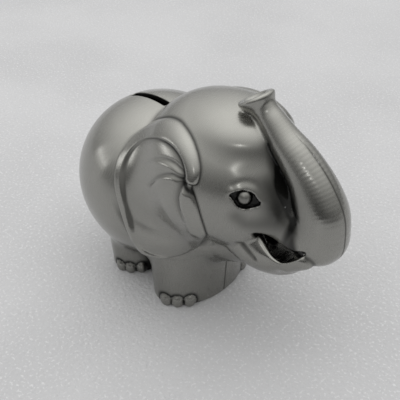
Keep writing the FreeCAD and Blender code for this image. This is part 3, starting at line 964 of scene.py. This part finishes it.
# How much the clouds vary the painted shade and patina in the hollows, and how much each noise lightens the
# metal.
WIPE = 0.14
STREAK_WEAR = 0.18
CLOUD_WEAR = 0.9
LEAST_WEAR = -0.15
# Roughness of clean metal, lowest and highest, and how much rougher patina and painted shade are.
METAL_ROUGHNESS = (0.235, 0.28)
PATINA_AND_SHADE_ROUGHER = 0.25
# The lacquer over everything.
LACQUER = 0.35
LACQUER_ROUGHNESS = 0.12


def pewter(name, grain, radial_axis, stretch):
    """Brushed antiqued pewter: fine streaks, dark patina in the creases, painted shade in the hollows and
    where the patina attribute paints it, a thin clear lacquer.

    The grain squeezes the streaks along one axis, and stretch is how far highlights are drawn out.
    """
    material, nodes, shader = new_material(name)
    place = nodes.add("ShaderNodeTexCoord").outputs["Object"]
    crease = nodes.add("ShaderNodeAttribute", {"attribute_name": "crease"}).outputs["Fac"]
    hollow = nodes.add("ShaderNodeAttribute", {"attribute_name": "hollow"}).outputs["Fac"]
    # The patina attribute holds patina lines and painted shade: in the mouth, the slot, beside the trunk,
    # round the toes and in the eye socket.
    painted = nodes.add("ShaderNodeAttribute", {"attribute_name": "patina"}).outputs["Fac"]
    streaks = nodes.noise(place, STREAKS, 4.0, grain)
    fine = nodes.noise(place, FINE_STREAKS, 2.0, grain)
    cloud = nodes.noise(place, CLOUDS, 3.0)
    wiped = nodes.maths("ADD", hollow, nodes.maths("MULTIPLY_ADD", cloud, WIPE, -WIPE / 2))
    deep = nodes.maths("MAXIMUM", nodes.spread(crease, *CREASE_PATINA), painted)
    wide = nodes.spread(wiped, *HOLLOW_PATINA_AND_SHADE)
    dark = nodes.maths("MULTIPLY_ADD", wide, HOLLOW_DARKEST, deep, clamp=True)
    cloudy = nodes.maths("MULTIPLY_ADD", cloud, CLOUD_WEAR, LEAST_WEAR)
    worn = nodes.maths("MULTIPLY_ADD", streaks, STREAK_WEAR, cloudy)
    shine = nodes.mix(worn, METAL, METAL_WORN)
    nodes.put(shader.inputs["Base Color"], nodes.mix(dark, shine, PATINA_AND_SHADE))
    shader.inputs["Metallic"].default_value = 1.0
    clean = nodes.spread(fine, 0.25, 0.75, *METAL_ROUGHNESS)
    rough = nodes.maths("MULTIPLY_ADD", dark, PATINA_AND_SHADE_ROUGHER, clean)
    nodes.put(shader.inputs["Roughness"], rough)
    shader.inputs["Anisotropic"].default_value = stretch
    shader.inputs["Anisotropic Rotation"].default_value = 0.25
    tangent = nodes.add("ShaderNodeTangent", {"direction_type": "RADIAL", "axis": radial_axis})
    nodes.put(shader.inputs["Tangent"], tangent.outputs[0])
    shader.inputs["Coat Weight"].default_value = LACQUER
    shader.inputs["Coat Roughness"].default_value = LACQUER_ROUGHNESS
    bump = nodes.add("ShaderNodeBump", Strength=0.01, Distance=0.0002)
    nodes.put(bump.inputs["Height"], nodes.maths("ADD", streaks, nodes.maths("MULTIPLY", fine, 0.5)))
    nodes.put(shader.inputs["Normal"], bump.outputs[0])
    return material


# Rubber's colours: clean and dusty.
RUBBER = (0.018, 0.018, 0.019, 1)
RUBBER_DUST = (0.04, 0.04, 0.041, 1)


def rubber(name):
    """Matte black rubber with a faint moulded grain."""
    material, nodes, shader = new_material(name)
    place = nodes.add("ShaderNodeTexCoord").outputs["Object"]
    grain = nodes.noise(place, 900.0, 2.0)
    dust = nodes.noise(place, 70.0, 3.0)
    colour = nodes.mix(nodes.spread(dust, 0.4, 0.75), RUBBER, RUBBER_DUST)
    nodes.put(shader.inputs["Base Color"], colour)
    nodes.put(shader.inputs["Roughness"], nodes.spread(grain, 0.3, 0.7, 0.55, 0.75))
    bump = nodes.add("ShaderNodeBump", Strength=0.25, Distance=0.0001)
    nodes.put(bump.inputs["Height"], grain)
    nodes.put(shader.inputs["Normal"], bump.outputs[0])
    return material


# The paper's colours: its darker and lighter patches, and its specks.
PAPER_DARKER = (0.54, 0.54, 0.55, 1)
PAPER_LIGHTER = (0.59, 0.59, 0.60, 1)
PAPER_SPECK = (0.67, 0.67, 0.68, 1)


def floor_material():
    """Pale matte paper with a fine pebble grain."""
    material, nodes, shader = new_material("pale_floor")
    place = nodes.add("ShaderNodeTexCoord").outputs["Object"]
    pebbles = nodes.noise(place, 420.0, 2.0)
    patches = nodes.noise(place, 9.0, 2.0)
    paper = nodes.mix(nodes.spread(patches, 0.3, 0.7), PAPER_DARKER, PAPER_LIGHTER)
    specks = nodes.spread(nodes.noise(place, 620.0, 1.0), 0.56, 0.72)
    nodes.put(shader.inputs["Base Color"], nodes.mix(specks, paper, PAPER_SPECK))
    shader.inputs["Roughness"].default_value = 0.7
    shader.inputs["Specular IOR Level"].default_value = 0.25
    bump = nodes.add("ShaderNodeBump", Strength=0.7, Distance=0.001)
    nodes.put(bump.inputs["Height"], pebbles)
    nodes.put(shader.inputs["Normal"], bump.outputs[0])
    return material


def wear(piece, material):
    """Give a piece its only material."""
    piece.data.materials.clear()
    piece.data.materials.append(material)


# ---- the stage ----

# The camera, in millimetres and degrees.
CAMERA_TARGET = (-1.1, -4.7, 60.9)
CAMERA_DISTANCE = 399.0
CAMERA_AZIMUTH = 45.0
CAMERA_ELEVATION = 38.0
CAMERA_FIELD = 30.2

# What both lamps look at, in millimetres.
LAMP_TARGET = (0, 0, 60.0)
# The dome's brightness is a parabola of how far a direction points to the dome's brightest spot.
DOME_ELEVATION = 75.0
DOME_CURVE = 0.60
DOME_SLOPE = 0.88
DOME_MIDDLE = 0.20
DOME_DARKEST = 0.08
FLOOR_HALF = 2500.0


def towards(azimuth, elevation):
    """Unit vector at an azimuth, in degrees from +X towards -Y, and an elevation."""
    a = math.radians(azimuth)
    e = math.radians(elevation)
    return np.array([math.cos(e) * math.cos(a), -math.cos(e) * math.sin(a), math.sin(e)])


def aim(thing, place, target):
    """Put a camera or light somewhere, in millimetres, looking at a target."""
    where = Vector(place) * MM
    look = Vector(target) * MM - where
    thing.location = where
    thing.rotation_euler = look.to_track_quat("-Z", "Y").to_euler()


def add_camera():
    """The camera, off to the bank's right front and looking down on it."""
    data = bpy.data.cameras.new("camera")
    data.sensor_fit = "HORIZONTAL"
    data.angle = math.radians(CAMERA_FIELD)
    camera = bpy.data.objects.new("camera", data)
    bpy.context.scene.collection.objects.link(camera)
    place = np.array(CAMERA_TARGET) + towards(CAMERA_AZIMUTH, CAMERA_ELEVATION) * CAMERA_DISTANCE
    aim(camera, place, CAMERA_TARGET)
    bpy.context.scene.camera = camera


def add_lamp(name, azimuth, elevation, distance, size, power):
    """A rectangular lamp that looks at the middle of the bank."""
    data = bpy.data.lights.new(name, "AREA")
    data.shape = "RECTANGLE"
    data.size = size[0] * MM
    data.size_y = size[1] * MM
    data.energy = power
    lamp = bpy.data.objects.new(name, data)
    bpy.context.scene.collection.objects.link(lamp)
    aim(lamp, towards(azimuth, elevation) * distance + np.array(LAMP_TARGET), LAMP_TARGET)


def add_dome():
    """Soft studio light: a dome that is bright above and behind the bank, and dim in front."""
    world = bpy.data.worlds.new("dome")
    bpy.context.scene.world = world
    world.use_nodes = True
    nodes = Nodes(world.node_tree)
    direction = nodes.add("ShaderNodeTexCoord").outputs["Generated"]
    bright = towards(CAMERA_AZIMUTH + 180, DOME_ELEVATION)
    along = nodes.add("ShaderNodeVectorMath", {"operation": "DOT_PRODUCT"})
    nodes.put(along.inputs[0], direction)
    along.inputs[1].default_value = bright.tolist()
    rise = nodes.maths("MULTIPLY_ADD", along.outputs["Value"], DOME_CURVE, DOME_SLOPE)
    level = nodes.maths("MULTIPLY_ADD", along.outputs["Value"], rise, DOME_MIDDLE)
    background = world.node_tree.nodes["Background"]
    background.inputs["Color"].default_value = (1.0, 1.0, 0.99, 1)
    nodes.put(background.inputs["Strength"], nodes.maths("MAXIMUM", level, DOME_DARKEST))


def add_floor():
    """A wide sheet of pale paper on the ground."""
    corners = [(FLOOR_HALF * x, FLOOR_HALF * y, 0) for x, y in ((-1, -1), (1, -1), (1, 1), (-1, 1))]
    floor = mesh_piece("floor", corners, [(0, 1, 2, 3)])
    wear(floor, floor_material())


# ---- build ----

add_camera()
add_dome()
add_lamp("small_lamp", azimuth=51, elevation=40, distance=900, size=(34, 34), power=0.12)
add_lamp("side_strip", azimuth=143, elevation=12, distance=700, size=(300, 60), power=0.15)
add_floor()

body_metal = pewter("pewter_body", (36, 1, 1), "Z", 0.75)
ear_metal = pewter("pewter_ear", (1, 1, 36), "X", 0.3)

shell_left = left_shell()
ear_left = mesh_piece("ear_left_look", *surface(ear, *EAR_BOX, EAR_CELL))
tail = mesh_piece("tail_look", *surface(rump_tail, *TAIL_BOX, TAIL_CELL))
add_patina_and_shade(shell_left, bank, shell_lines)
add_patina_and_shade(ear_left, ear, ear_lines, 0.6)
add_patina_and_shade(tail, rump_tail)
shell_right = mirrored_piece(shell_left, "shell_right_look")
ear_right = mirrored_piece(ear_left, "ear_right_look")

for piece, material, node in (
    (shell_left, body_metal, "shell_left"),
    (shell_right, body_metal, "shell_right"),
    (ear_left, ear_metal, "ear_left"),
    (ear_right, ear_metal, "ear_right"),
    (tail, body_metal, "tail"),
):
    shade_smooth(piece)
    wear(piece, material)
    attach(piece, "bank")
    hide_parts(node)

stopper = carve(stopper_plug(), stopper_tab(), "UNION")
shade_smooth(stopper)
wear(stopper, rubber("stopper_rubber"))
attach(stopper, "stopper")
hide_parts("stopper")

bpy.context.scene.view_settings.view_transform = "Standard"
